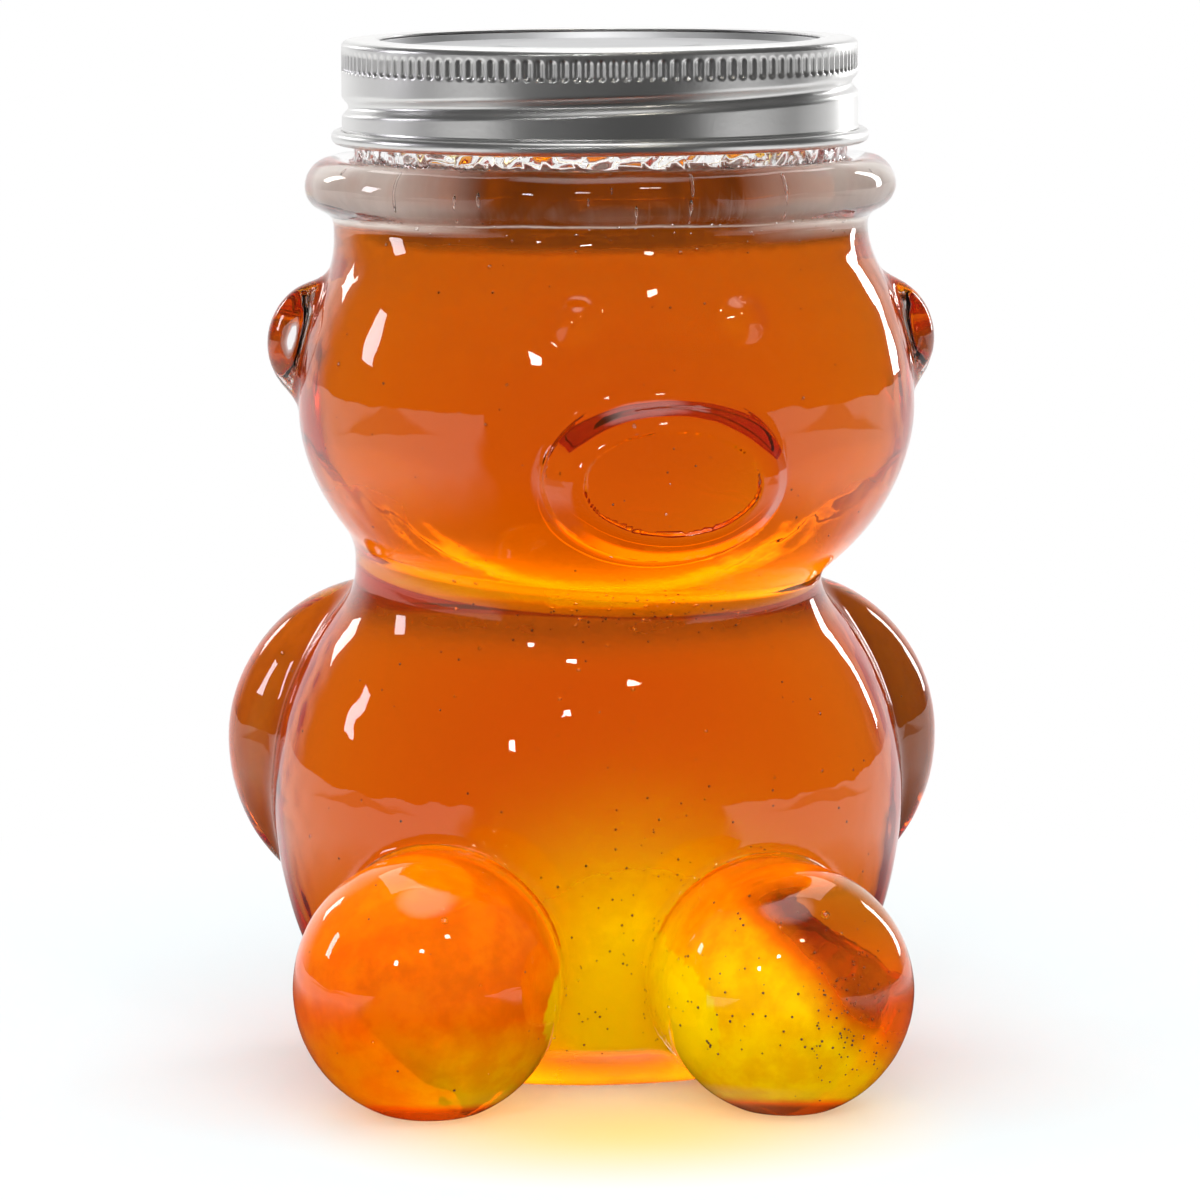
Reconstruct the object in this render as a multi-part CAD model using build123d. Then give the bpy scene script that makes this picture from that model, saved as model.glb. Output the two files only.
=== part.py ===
from build123d import *
import math
import os

# Honey bear jar: a glass bear full of honey under a two-piece screw lid.
# Millimetres, +Z up, the bear looks along -Y, origin on the lid's axis at the base.

# Glass
wall = 2.9
base_thickness = 5.4
contact_flat = 0.3
overrun = 6.0

# Smoothness of the trunk
section_points = 20
section_gap = 3.0
fine_gap = 1.2
crease_blend = 0.8
dome_share = 0.97

# Body
body_x = -2.0
body_y = 5.0
body_height = 38.0
body_half_width = 44.4
body_half_depth = 43.0
body_rise = 42.0
body_drop = 50.0
block_size = 4 * body_half_width

# Waist between head and body
waist_x = body_x
waist_y = 2.0
waist_radius = 32.6

# Head
head_x = 0.5
head_y = -4.0
head_above_body = 55.4
head_height = body_height + head_above_body
head_half_width = 42.9
head_half_depth = 41.5
head_rise = 41.0
head_drop = 32.8

# Ears: thick round lobes with a dished face
ear_sink = 5.3
ear_reach = head_half_width - ear_sink
ear_y = -2.0
ear_above_head = 8.4
ear_height = head_height + ear_above_head
ear_radius = 9.2
ear_half_thickness = 6.0
ear_dish_radius = 6.2
ear_dish_depth = 1.8
ear_turn = 12.0

# Face, turned a little to the bear's left
face_turn = 8.3
eye_angle = 15.2
eye_above_head = 13.8
eye_height = head_height + eye_above_head
eye_radius = 3.0
eye_proud = 1.4
muzzle_below_head = 6.7
muzzle_height = head_height - muzzle_below_head
muzzle_half_width = 16.7
muzzle_half_height = 11.4
muzzle_proud = 4.6
muzzle_round = 3.2
muzzle_rim = 3.6
muzzle_recess = 0.6

# Arms: round lobes behind the sides of the body
arm_sink = 17.3
arm_reach = body_half_width - arm_sink
arm_y = 15.0
arm_above_body = 5.5
arm_height = body_height + arm_above_body
arm_radius = 23.9
arm_half_thickness = 15.0
arm_wall = 4.2
arm_turn = 14.0

# Legs: stubby, ending in round feet, the left one a little smaller
left_foot_radius = 17.3
right_foot_radius = 18.3
hip_radius = 15.0
foot_reach = 24.3
foot_y = -45.6
hip_reach = 19.0
hip_y = -8.0

# Finish, neck and collar ring
finish_radius = 33.3
finish_wall = 3.7
bore_radius = finish_radius - finish_wall
rim_round = 0.9
finish_bead_proud = 1.0
finish_bead_radius = finish_radius + finish_bead_proud
finish_bead_height = 2.6
neck_step = 4.0
neck_radius = finish_radius + neck_step
shoulder_drop = 6.0
collar_above_head = 30.4
collar_height = head_height + collar_above_head
collar_proud = 0.1
collar_ring_radius = neck_radius + collar_proud
collar_tube_radius = 3.8
bead_height = collar_height + collar_tube_radius
finish_height = 15.1
rim_height = bead_height + finish_height

# Honey level below the rim
headspace = 16.7
fill_height = rim_height - headspace

# Sealing ring
seal_thickness = 0.6
seal_width = 3.0
seal_inner_radius = finish_radius - seal_width

# Lid disc
disc_thickness = 0.3
disc_fit = 0.8
disc_radius = finish_radius + disc_fit + disc_thickness
disc_lip = 1.3
disc_panel_step = 1.5
disc_panel_radius = seal_inner_radius - disc_panel_step
disc_panel_drop = 0.8
disc_step = 0.8
disc_button_radius = 14.0
disc_button_rise = 0.4

# Screw band
tin = 0.3
band_clearance = 0.1
band_side_clearance = 0.95
knurl_depth = 0.35
band_radius = disc_radius + band_side_clearance + tin + knurl_depth
flange_width = 5.2
band_window_radius = band_radius - flange_width
band_corner = 1.2
knurl_count = 134
knurl_top = 0.9
knurl_length = 3.5
knurl_crest_share = 0.45
knurl_floor_share = 0.5
knurl_foot_share = 0.95
skirt_straight = 6.4
groove_depth = 0.8
groove_radius = band_radius - groove_depth
groove_drop = 7.9
bead_depth = 0.1
bead_radius = band_radius - bead_depth
bead_drop = 10.4
curl_tube_radius = 1.0
curl_proud = 0.5
curl_ring_radius = band_radius + curl_proud
band_depth = 14.5


def soft_max(values):
    """The largest value, rounded a little where two are nearly equal."""
    top = max(values)
    return top + crease_blend * math.log(sum(math.exp((v - top) / crease_blend) for v in values))


def bulge(z, centre, rise, drop):
    """Share of its full width that an ellipsoid has at height z, or zero outside it."""
    share = (z - centre) / (rise if z > centre else drop)
    return math.sqrt(1 - share * share) if abs(share) < 1 else 0


def trunk_forms(z, inset):
    """Ellipses of the head, waist and body at height z: x, y and two half axes."""
    head = bulge(z, head_height, head_rise - inset, head_drop - inset)
    body = bulge(z, body_height, body_rise - inset, body_drop - inset)
    forms = []
    if head > 0:
        forms.append((head_x, head_y, (head_half_width - inset) * head, (head_half_depth - inset) * head))
    if body > 0:
        forms.append((body_x, body_y, (body_half_width - inset) * body, (body_half_depth - inset) * body))
    if body_height < z < head_height:
        forms.append((waist_x, waist_y, waist_radius - inset, waist_radius - inset))
    return forms


def trunk_section(z, inset):
    """Outline of the trunk at height z, as one closed smooth curve."""
    forms = trunk_forms(z, inset)
    right = soft_max([x + a for x, y, a, b in forms])
    left = -soft_max([a - x for x, y, a, b in forms])
    back = soft_max([y + b for x, y, a, b in forms])
    front = -soft_max([b - y for x, y, a, b in forms])
    points = []
    for i in range(section_points):
        turn = 2 * math.pi * i / section_points
        x = (right + left) / 2 + (right - left) / 2 * math.cos(turn)
        y = (back + front) / 2 + (back - front) / 2 * math.sin(turn)
        points.append((x, y, z))
    return make_face(Spline(*points, periodic=True))


def trunk_heights(low, high):
    """Heights of the sections: close together round the waist, wider elsewhere."""
    waist_low = body_height + body_rise / 2
    waist_high = head_height - head_drop / 3
    heights = [low]
    while heights[-1] < high - section_gap:
        near = waist_low < heights[-1] < waist_high
        heights.append(heights[-1] + (fine_gap if near else section_gap))
    heights.append(high)
    return heights


def trunk(low, inset):
    """Body, waist and head, up to where the head's dome lies wholly inside the neck."""
    level = dome_share * (neck_radius - inset - abs(head_y)) / (head_half_depth - inset)
    high = head_height + (head_rise - inset) * math.sqrt(1 - level * level)
    return loft([trunk_section(z, inset) for z in trunk_heights(low, high)])


def lens(radius, half_thickness):
    """A round lobe that faces along Y, thickest at its centre."""
    arc = EllipticalCenterArc((0, 0), radius, half_thickness, start_angle=-90, arc_size=180)
    axle = Line((0, half_thickness), (0, -half_thickness))
    return revolve(make_face([arc, axle]), Axis.Y)


def arm(side, inset):
    """A thick round lobe on the side of the body."""
    lobe = lens(arm_radius - inset, arm_half_thickness - inset)
    return Pos(body_x + side * arm_reach, arm_y, arm_height) * Rot(Z=side * arm_turn) * lobe


def ear(side):
    """A lobe on the side of the head, with a shallow dish in its front."""
    dish = Pos(0, -ear_half_thickness, 0) * lens(ear_dish_radius, ear_dish_depth)
    lobe = lens(ear_radius, ear_half_thickness) - dish
    return Pos(side * ear_reach, ear_y, ear_height) * Rot(Z=side * ear_turn) * lobe


def head_front(z, across=0):
    """How far the head reaches forward at height z, across from its middle."""
    share = across / head_half_width
    level = bulge(z, head_height, head_rise, head_drop)
    return head_y - head_half_depth * math.sqrt(level * level - share * share)


def eye(side):
    across = side * head_half_width * math.sin(math.radians(eye_angle))
    return Pos(head_x + across, head_front(eye_height, across) + eye_radius - eye_proud, eye_height) * Sphere(
        eye_radius
    )


def muzzle():
    """Oval snout with a rounded rim and a slightly sunk middle."""
    front = head_front(muzzle_height) - muzzle_proud
    depth = head_half_depth / 2
    plane = Plane((head_x, front, muzzle_height), x_dir=(1, 0, 0), z_dir=(0, 1, 0))
    snout = extrude(plane * Ellipse(muzzle_half_width, muzzle_half_height), depth)
    snout = fillet(snout.edges().group_by(Axis.Y)[0], muzzle_round)
    middle = plane * Ellipse(muzzle_half_width - muzzle_rim, muzzle_half_height - muzzle_rim)
    return snout - extrude(middle, muzzle_recess)


def leg(side, inset):
    """A round foot on a stubby leg that tapers back to the hip."""
    outer = left_foot_radius if side > 0 else right_foot_radius
    radius = outer - inset
    height = outer - contact_flat
    foot = Vector(body_x + side * foot_reach, foot_y, height)
    hip = Vector(body_x + side * hip_reach, hip_y, height)
    run = hip - foot
    shank = Cone(radius, hip_radius - inset, run.length, align=(Align.CENTER, Align.CENTER, Align.MIN))
    return Pos(foot) * Sphere(radius) + Plane(foot, z_dir=run) * shank


def neck():
    """Neck, collar ring, bead and finish, up to the rounded rim."""
    foot = head_height
    profile = Polyline(
        (0, foot),
        (neck_radius, foot),
        (neck_radius, collar_height),
        (finish_bead_radius, collar_height),
        (finish_bead_radius, bead_height + finish_bead_height),
        (finish_radius, bead_height + finish_bead_height),
        (finish_radius, rim_height),
        (0, rim_height),
        close=True,
    )
    column = revolve(Plane.XZ * make_face(profile), Axis.Z)
    column = fillet(column.edges().group_by(Axis.Z)[-1], rim_round)
    return column + Pos(0, 0, collar_height) * Torus(collar_ring_radius, collar_tube_radius)


def bore():
    """Inside of the neck, narrowing to the mouth."""
    foot = head_height
    profile = Polyline(
        (0, foot),
        (neck_radius - wall, foot),
        (neck_radius - wall, bead_height - shoulder_drop),
        (bore_radius, bead_height),
        (bore_radius, rim_height + overrun),
        (0, rim_height + overrun),
        close=True,
    )
    return revolve(Plane.XZ * make_face(profile), Axis.Z)


def ground():
    """Everything below the plane that the jar stands on."""
    return Box(block_size, block_size, overrun, align=(Align.CENTER, Align.CENTER, Align.MAX))


def cavity():
    """The space inside the glass, open at the mouth."""
    inside = trunk(base_thickness, wall)
    inside = inside + leg(1, wall) + leg(-1, wall) + arm(1, arm_wall) + arm(-1, arm_wall)
    return inside + bore()


def bear():
    """The outside of the glass, cut flat where it stands."""
    face = Pos(head_x, head_y, 0) * Rot(Z=face_turn) * Pos(-head_x, -head_y, 0)
    outside = trunk(0, 0)
    outside = outside + face * (muzzle() + eye(1) + eye(-1))
    outside = outside + ear(1) + ear(-1) + arm(1, 0) + arm(-1, 0) + leg(1, 0) + leg(-1, 0)
    return outside + neck() - ground()


def honey(inside):
    """Honey fills the inside up to the collar ring's upper half."""
    block = Box(block_size, block_size, fill_height, align=(Align.CENTER, Align.CENTER, Align.MAX))
    return inside & Pos(0, 0, fill_height) * block


def sealing_ring():
    outer = Cylinder(seal_inner_radius + seal_width, seal_thickness, align=(Align.CENTER, Align.CENTER, Align.MIN))
    inner = Cylinder(seal_inner_radius, seal_thickness, align=(Align.CENTER, Align.CENTER, Align.MIN))
    return Pos(0, 0, rim_height) * (outer - inner)


def lid_disc():
    """Pressed disc: a lip, a flat flange over the seal, a sunk panel and a button."""
    low = rim_height + seal_thickness
    panel = low - disc_panel_drop
    button = panel + disc_button_rise
    under = [
        (0, button),
        (disc_button_radius, button),
        (disc_button_radius + disc_step, panel),
        (disc_panel_radius, panel),
        (disc_panel_radius + disc_step, low),
        (disc_radius - disc_thickness, low),
        (disc_radius - disc_thickness, low - disc_lip),
        (disc_radius, low - disc_lip),
    ]
    over = [
        (disc_radius, low + disc_thickness),
        (disc_panel_radius + disc_step, low + disc_thickness),
        (disc_panel_radius, panel + disc_thickness),
        (disc_button_radius + disc_step, panel + disc_thickness),
        (disc_button_radius, button + disc_thickness),
        (0, button + disc_thickness),
    ]
    return revolve(Plane.XZ * make_face(Polyline(*under, *over, close=True)), Axis.Z)


def knurls(top):
    """Upright ribs round the top of the skirt."""
    valley = band_radius - knurl_depth
    corners = (
        (0, band_radius),
        (knurl_crest_share, band_radius),
        (knurl_floor_share, valley),
        (knurl_foot_share, valley),
    )
    points = []
    for i in range(knurl_count):
        for share, radius in corners:
            turn = 2 * math.pi * (i + share) / knurl_count
            points.append((radius * math.cos(turn), radius * math.sin(turn)))
    ring = make_face(Polyline(*points, close=True)) - Circle(valley - tin / 2)
    return extrude(Pos(0, 0, top - knurl_top - knurl_length) * ring, knurl_length)


def screw_band():
    """Tin ring: flange, knurled corner, straight skirt, rolled bead and curled edge."""
    top = rim_height + seal_thickness + disc_thickness + band_clearance + tin
    valley = band_radius - knurl_depth
    outer = [
        (band_window_radius, top),
        (band_radius - band_corner, top),
        (band_radius, top - knurl_top),
        (valley, top - knurl_top),
        (valley, top - knurl_top - knurl_length),
        (band_radius, top - knurl_top - knurl_length),
        (band_radius, top - skirt_straight),
        (groove_radius, top - groove_drop),
        (bead_radius, top - bead_drop),
        (curl_ring_radius - curl_tube_radius + 2 * tin, top - band_depth + curl_tube_radius),
    ]
    inner = [
        (curl_ring_radius - curl_tube_radius + tin, top - band_depth + curl_tube_radius),
        (bead_radius - tin, top - bead_drop),
        (groove_radius - tin, top - groove_drop),
        (valley - tin, top - skirt_straight),
        (valley - tin, top - knurl_top),
        (band_radius - band_corner - tin, top - tin),
        (band_window_radius, top - tin),
    ]
    sheet = revolve(Plane.XZ * make_face(Polyline(*outer, *inner, close=True)), Axis.Z)
    curl = Pos(0, 0, top - band_depth + curl_tube_radius) * Torus(curl_ring_radius, curl_tube_radius)
    return sheet + knurls(top) + curl


def main():
    os.makedirs("parts", exist_ok=True)
    inside = cavity()
    pieces = {
        "glass_jar": bear() - inside,
        "honey": honey(inside),
        "lid_disc": lid_disc(),
        "sealing_ring": sealing_ring(),
        "screw_band": screw_band(),
    }
    for name, piece in pieces.items():
        export_step(piece, os.path.join("parts", name + ".step"))


main()
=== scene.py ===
import math

import bmesh
import bpy
import numpy as np
from mathutils import Matrix, Vector


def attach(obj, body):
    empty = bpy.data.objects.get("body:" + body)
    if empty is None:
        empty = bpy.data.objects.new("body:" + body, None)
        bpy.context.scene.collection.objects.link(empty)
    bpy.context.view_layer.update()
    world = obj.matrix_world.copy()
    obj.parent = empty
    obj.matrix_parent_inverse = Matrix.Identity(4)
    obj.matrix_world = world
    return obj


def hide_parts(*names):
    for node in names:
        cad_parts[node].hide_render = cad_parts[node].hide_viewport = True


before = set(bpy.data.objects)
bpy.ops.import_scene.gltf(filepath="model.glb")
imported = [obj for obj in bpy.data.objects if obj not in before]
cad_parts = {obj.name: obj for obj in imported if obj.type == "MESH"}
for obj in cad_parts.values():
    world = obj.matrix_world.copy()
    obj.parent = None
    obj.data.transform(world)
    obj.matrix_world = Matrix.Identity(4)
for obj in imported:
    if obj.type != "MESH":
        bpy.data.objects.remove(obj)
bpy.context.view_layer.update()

# Sizes are in millimetres unless a comment says otherwise, and MM turns them into metres
MM = 0.001

# Forms of the bear
HEAD_CENTRE = (0.5, -4.0, 93.4)
HEAD_HALF = (42.9, 41.5)
HEAD_RISE = 41.0
HEAD_DROP = 32.8
BODY_CENTRE = (-2.0, 5.0, 38.0)
BODY_HALF = (44.4, 43.0)
BODY_RISE = 42.0
BODY_DROP = 50.0
WAIST_PLACE = (-2.0, 2.0)
WAIST_RADIUS = 32.6
FOOT_RADII = {1: 17.3, -1: 18.3}
HIP_RADIUS = 15.0
CONTACT_FLAT = 0.3
FOOT_REACH = 24.3
FOOT_Y = -45.6
HIP_REACH = 19.0
HIP_Y = -8.0
ARM_REACH = 27.1
ARM_Y = 15.0
ARM_HEIGHT = 43.5
ARM_RADIUS = 23.9
ARM_HALF_THICKNESS = 15.0
ARM_WALL = 4.2
ARM_TURN = 14.0
EAR_REACH = 37.6
EAR_Y = -2.0
EAR_HEIGHT = 101.8
EAR_RADIUS = 9.2
EAR_HALF_THICKNESS = 6.0
EAR_DISH_RADIUS = 6.2
EAR_DISH_DEPTH = 1.8
EAR_TURN = 12.0
FACE_TURN = 8.3
EYE_ANGLE = 15.2
EYE_HEIGHT = 107.2
EYE_RADIUS = 3.0
EYE_PROUD = 1.4
MUZZLE_HEIGHT = 86.7
MUZZLE_HALF = (16.7, 11.4)
MUZZLE_PROUD = 4.6
MUZZLE_SLOPE = (0.65, 0.6)
MUZZLE_SINK = 0.1
MUZZLE_ROUND = 2.2
MUZZLE_RIM = 2.2
MUZZLE_RECESS = 0.5
CHIN_HEIGHT = 68.0

# Neck and finish
NECK_RADIUS = 37.3
COLLAR_HEIGHT = 123.8
COLLAR_RING_RADIUS = 37.4
COLLAR_TUBE_RADIUS = 3.8
BEAD_RADIUS = 34.3
BEAD_TOP = 130.2
FINISH_RADIUS = 33.3
RIM_HEIGHT = 142.7
BORE_RADIUS = 29.6
SHOULDER_DROP = 6.0
WALL = 2.9
BASE_THICKNESS = 5.4
FILL_HEIGHT = 126.0
HONEY_GAP = 0.04
MENISCUS_CLIMB = 0.9
MENISCUS_REACH = 1.4
MENISCUS_BLEND = 0.3

# Screw thread on the glass, whose ends are in turns from the right-hand side
PITCH = 6.35
THREAD_PROUD = 1.0
THREAD_HALF_WIDTH = 1.1
THREAD_HEIGHT = 132.4
THREAD_TURNS = (-0.35, 1.05)
THREAD_FADE = 0.08

# Waves in the glass: height, length, how many are added up, and seed
SKIN_WAVES = ((0.055, 15.0, 14, 11), (0.018, 4.2, 14, 12))
RING_WAVES = (0.12, 9.0, 10, 31)
BEAD_WAVES = (0.18, 2.6, 12, 32)
INNER_WAVES = (0.15, 22.0, 12, 21)
CHIN_CALM = 4.0
CHIN_FADE = 8.0

# Roundings where the glass forms meet
TRUNK_BLEND = 2.6
LIMB_BLEND = 2.0
FACE_BLEND = 1.6
RIM_BLEND = 1.2
WALL_BLEND = 0.8

# Mesh steps
GLASS_STEP = 0.8
HONEY_STEP = 1.1
FACE_BOX = ((-17.0, -60.0, 70.0), (30.0, -36.0, 113.0))
NUDGE = 0.02
STEPS_TO_SURFACE = 4
LONGEST_MOVE = 0.6
SLOPE_FLOOR = 0.05
TINY = 1e-9


def smooth_min(a, b, blend):
    """The smaller of two fields, with a rounding of about blend where they meet."""
    share = np.clip(0.5 + 0.5 * (b - a) / blend, 0, 1)
    return b + (a - b) * share - blend * share * (1 - share)


def smooth_max(a, b, blend):
    """The larger of two fields, rounded in the same way."""
    return -smooth_min(-a, -b, blend)


def grow(value, start, length):
    """0 up to start, and 1 from that length after it."""
    return np.clip((value - start) / length, 0, 1)


def shrink(value, end, length):
    """1 up to that length before end, and 0 from end on."""
    return np.clip((end - value) / length, 0, 1)


def between(value, ends, length):
    """1 between two ends, growing and shrinking over that length inside them."""
    return np.minimum(grow(value, ends[0], length), shrink(value, ends[1], length))


def bump(value, middle, width):
    """1 in the middle, and less and less to either side."""
    return np.exp(-(((value - middle) / width) ** 2))


def egg(p, centre, half, rise, drop):
    """Distance to an ellipsoid whose upper and lower halves differ."""
    q = p - np.array(centre)
    axes = np.empty_like(p)
    axes[:, 0] = half[0]
    axes[:, 1] = half[1]
    axes[:, 2] = np.where(q[:, 2] > 0, rise, drop)
    near = np.linalg.norm(q / axes, axis=1)
    slope = np.linalg.norm(q / axes**2, axis=1)
    return near * (near - 1) / np.maximum(slope, 1e-6)


def post(p, x, y, radius, low, high):
    """Distance to an upright cylinder."""
    side = np.hypot(p[:, 0] - x, p[:, 1] - y) - radius
    return np.maximum(side, np.maximum(low - p[:, 2], p[:, 2] - high))


def round_bar(p, start, end, start_radius, end_radius):
    """Distance to a bar with round ends that tapers from start to end."""
    a, b = np.array(start), np.array(end)
    along = np.clip((p - a) @ (b - a) / ((b - a) @ (b - a)), 0, 1)
    radius = start_radius + (end_radius - start_radius) * along
    return np.linalg.norm(p - a - along[:, None] * (b - a), axis=1) - radius


def turned(p, centre, degrees):
    """Points seen from a frame at centre that is turned about the upright axis."""
    turn = math.radians(degrees)
    q = p - np.array(centre)
    x = q[:, 0] * math.cos(turn) + q[:, 1] * math.sin(turn)
    y = q[:, 1] * math.cos(turn) - q[:, 0] * math.sin(turn)
    return np.stack([x, y, q[:, 2]], axis=1)


def waves(p, height, length, count, seed):
    """A smooth field of about that height either way, with bumps of about that length."""
    draw = np.random.default_rng(seed)
    total = np.zeros(len(p))
    for _ in range(count):
        way = draw.normal(size=3)
        way *= 2 * math.pi / (length * np.linalg.norm(way))
        total += np.sin(p @ way + draw.uniform(0, 2 * math.pi))
    return height * (total * math.sqrt(2 / count) / 2)


def ear_form(p, side):
    q = turned(p, (side * EAR_REACH, EAR_Y, EAR_HEIGHT), side * EAR_TURN)
    half = (EAR_RADIUS, EAR_HALF_THICKNESS)
    lobe = egg(q, (0, 0, 0), half, EAR_RADIUS, EAR_RADIUS)
    dish_half = (EAR_DISH_RADIUS, EAR_DISH_DEPTH)
    dish = egg(q, (0, -EAR_HALF_THICKNESS, 0), dish_half, EAR_DISH_RADIUS, EAR_DISH_RADIUS)
    return smooth_max(lobe, -dish, RIM_BLEND)


def arm_form(p, side, inset):
    centre = (BODY_CENTRE[0] + side * ARM_REACH, ARM_Y, ARM_HEIGHT)
    q = turned(p, centre, side * ARM_TURN)
    radius = ARM_RADIUS - inset
    return egg(q, (0, 0, 0), (radius, ARM_HALF_THICKNESS - inset), radius, radius)


def leg_form(p, side, inset):
    height = FOOT_RADII[side] - CONTACT_FLAT
    foot = (BODY_CENTRE[0] + side * FOOT_REACH, FOOT_Y, height)
    hip = (BODY_CENTRE[0] + side * HIP_REACH, HIP_Y, height)
    return round_bar(p, foot, hip, FOOT_RADII[side] - inset, HIP_RADIUS - inset)


def head_front(z, across):
    """Where the front of the head lies at height z, across from its middle."""
    part = (z - HEAD_CENTRE[2]) / (HEAD_RISE if z > HEAD_CENTRE[2] else HEAD_DROP)
    return HEAD_CENTRE[1] - HEAD_HALF[1] * math.sqrt(1 - part**2 - (across / HEAD_HALF[0]) ** 2)


def muzzle_form(q):
    """Distance to the snout, in the face's frame: an oval that narrows and sinks towards its front."""
    front = head_front(MUZZLE_HEIGHT, 0) - MUZZLE_PROUD - HEAD_CENTRE[1]
    ahead = front - q[:, 1]
    depth = np.clip(MUZZLE_PROUD + ahead, 0, MUZZLE_PROUD)
    lift = q[:, 2] - (MUZZLE_HEIGHT - HEAD_CENTRE[2]) + MUZZLE_SINK * depth
    flat = np.stack([q[:, 0], np.zeros(len(q)), lift], axis=1)
    wide = MUZZLE_HALF[0] - MUZZLE_SLOPE[0] * depth
    high = MUZZLE_HALF[1] - MUZZLE_SLOPE[1] * depth
    oval = egg(flat, (0, 0, 0), (wide, wide), high, high)
    a, b = oval + MUZZLE_ROUND, ahead + MUZZLE_ROUND
    rounded = np.hypot(np.maximum(a, 0), np.maximum(b, 0)) - MUZZLE_ROUND
    snout = np.maximum(rounded + np.minimum(np.maximum(a, b), 0), q[:, 1])
    sunk = np.maximum(oval + MUZZLE_RIM, -ahead - MUZZLE_RECESS)
    return smooth_max(snout, -sunk, RIM_BLEND)


def face_form(p, head):
    """The head's field with snout and eyes joined to it."""
    q = turned(p, HEAD_CENTRE, FACE_TURN)
    field = smooth_min(head, muzzle_form(q), FACE_BLEND)
    for side in (-1, 1):
        across = side * HEAD_HALF[0] * math.sin(math.radians(EYE_ANGLE))
        back = head_front(EYE_HEIGHT, across) + EYE_RADIUS - EYE_PROUD - HEAD_CENTRE[1]
        place = np.array([across, back, EYE_HEIGHT - HEAD_CENTRE[2]])
        eye = np.linalg.norm(q - place, axis=1) - EYE_RADIUS
        field = smooth_min(field, eye, FACE_BLEND)
    return field


def thread_height(turn):
    """Height of the glass thread's crest line at an angle in turns from the right-hand side."""
    return THREAD_HEIGHT + PITCH * turn


def finish_form(p):
    """Neck, collar ring, bead and threaded finish."""
    radius = np.hypot(p[:, 0], p[:, 1])
    neck = post(p, 0, 0, NECK_RADIUS, HEAD_CENTRE[2], COLLAR_HEIGHT)
    ring = np.hypot(radius - COLLAR_RING_RADIUS, p[:, 2] - COLLAR_HEIGHT) - COLLAR_TUBE_RADIUS
    ring += waves(p, *RING_WAVES)
    bead = post(p, 0, 0, BEAD_RADIUS, COLLAR_HEIGHT, BEAD_TOP)
    bead += waves(p, *BEAD_WAVES)
    column = post(p, 0, 0, FINISH_RADIUS - RIM_BLEND, COLLAR_HEIGHT, RIM_HEIGHT - RIM_BLEND)
    column -= RIM_BLEND
    field = smooth_min(neck, ring, LIMB_BLEND)
    field = smooth_min(field, bead, RIM_BLEND)
    field = smooth_min(field, column, WALL_BLEND)
    angle = np.arctan2(p[:, 1], p[:, 0]) / (2 * math.pi)
    for lap in (0, 1):
        turn = angle + lap
        fade = between(turn, THREAD_TURNS, THREAD_FADE)
        crest = THREAD_HALF_WIDTH - np.abs(p[:, 2] - thread_height(turn))
        proud = THREAD_PROUD * fade * np.sqrt(grow(crest, 0, THREAD_HALF_WIDTH))
        threaded = np.minimum(field, radius - FINISH_RADIUS - proud)
        field = np.where((crest > 0) & (fade > 0), threaded, field)
    return field


def outside(p):
    """Distance to the outer surface of the glass bear."""
    head = egg(p, HEAD_CENTRE, HEAD_HALF, HEAD_RISE, HEAD_DROP)
    body = egg(p, BODY_CENTRE, BODY_HALF, BODY_RISE, BODY_DROP)
    waist = post(p, *WAIST_PLACE, WAIST_RADIUS, BODY_CENTRE[2], HEAD_CENTRE[2])
    head = face_form(p, head)
    field = smooth_min(smooth_min(head, waist, TRUNK_BLEND), body, TRUNK_BLEND)
    field = smooth_min(field, finish_form(p), LIMB_BLEND)
    for side in (-1, 1):
        field = smooth_min(field, ear_form(p, side), LIMB_BLEND)
        field = smooth_min(field, arm_form(p, side, 0), LIMB_BLEND)
        field = smooth_min(field, leg_form(p, side, 0), LIMB_BLEND)
    wavy = shrink(p[:, 2], COLLAR_HEIGHT, COLLAR_TUBE_RADIUS)
    wavy *= grow(np.abs(p[:, 2] - CHIN_HEIGHT), CHIN_CALM, CHIN_FADE)
    field += wavy * sum(waves(p, *row) for row in SKIN_WAVES)
    return smooth_max(field, -p[:, 2], RIM_BLEND)


def inside(p):
    """Distance to the inner surface of the glass, negative in the space it holds."""
    head_half = (HEAD_HALF[0] - WALL, HEAD_HALF[1] - WALL)
    body_half = (BODY_HALF[0] - WALL, BODY_HALF[1] - WALL)
    head = egg(p, HEAD_CENTRE, head_half, HEAD_RISE - WALL, HEAD_DROP - WALL)
    body = egg(p, BODY_CENTRE, body_half, BODY_RISE - WALL, BODY_DROP - WALL)
    waist = post(p, *WAIST_PLACE, WAIST_RADIUS - WALL, BODY_CENTRE[2], HEAD_CENTRE[2])
    field = smooth_min(smooth_min(head, waist, TRUNK_BLEND), body, TRUNK_BLEND)
    field = smooth_max(field, BASE_THICKNESS - p[:, 2], LIMB_BLEND)
    for side in (-1, 1):
        field = smooth_min(field, leg_form(p, side, WALL), LIMB_BLEND)
        field = smooth_min(field, arm_form(p, side, ARM_WALL), LIMB_BLEND)
    field += waves(p, *INNER_WAVES)
    shoulder = COLLAR_HEIGHT + COLLAR_TUBE_RADIUS
    radius = np.hypot(p[:, 0], p[:, 1])
    climb = np.clip((p[:, 2] - shoulder + SHOULDER_DROP) / SHOULDER_DROP, 0, 1)
    wide = NECK_RADIUS - WALL
    tube = radius - (wide + (BORE_RADIUS - wide) * climb)
    tube = np.maximum(tube, HEAD_CENTRE[2] - p[:, 2])
    return smooth_min(field, tube, LIMB_BLEND)


def glass_field(p):
    """Distance to the glass itself, between its outer and inner surfaces."""
    return smooth_max(outside(p), -inside(p), WALL_BLEND)


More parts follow.
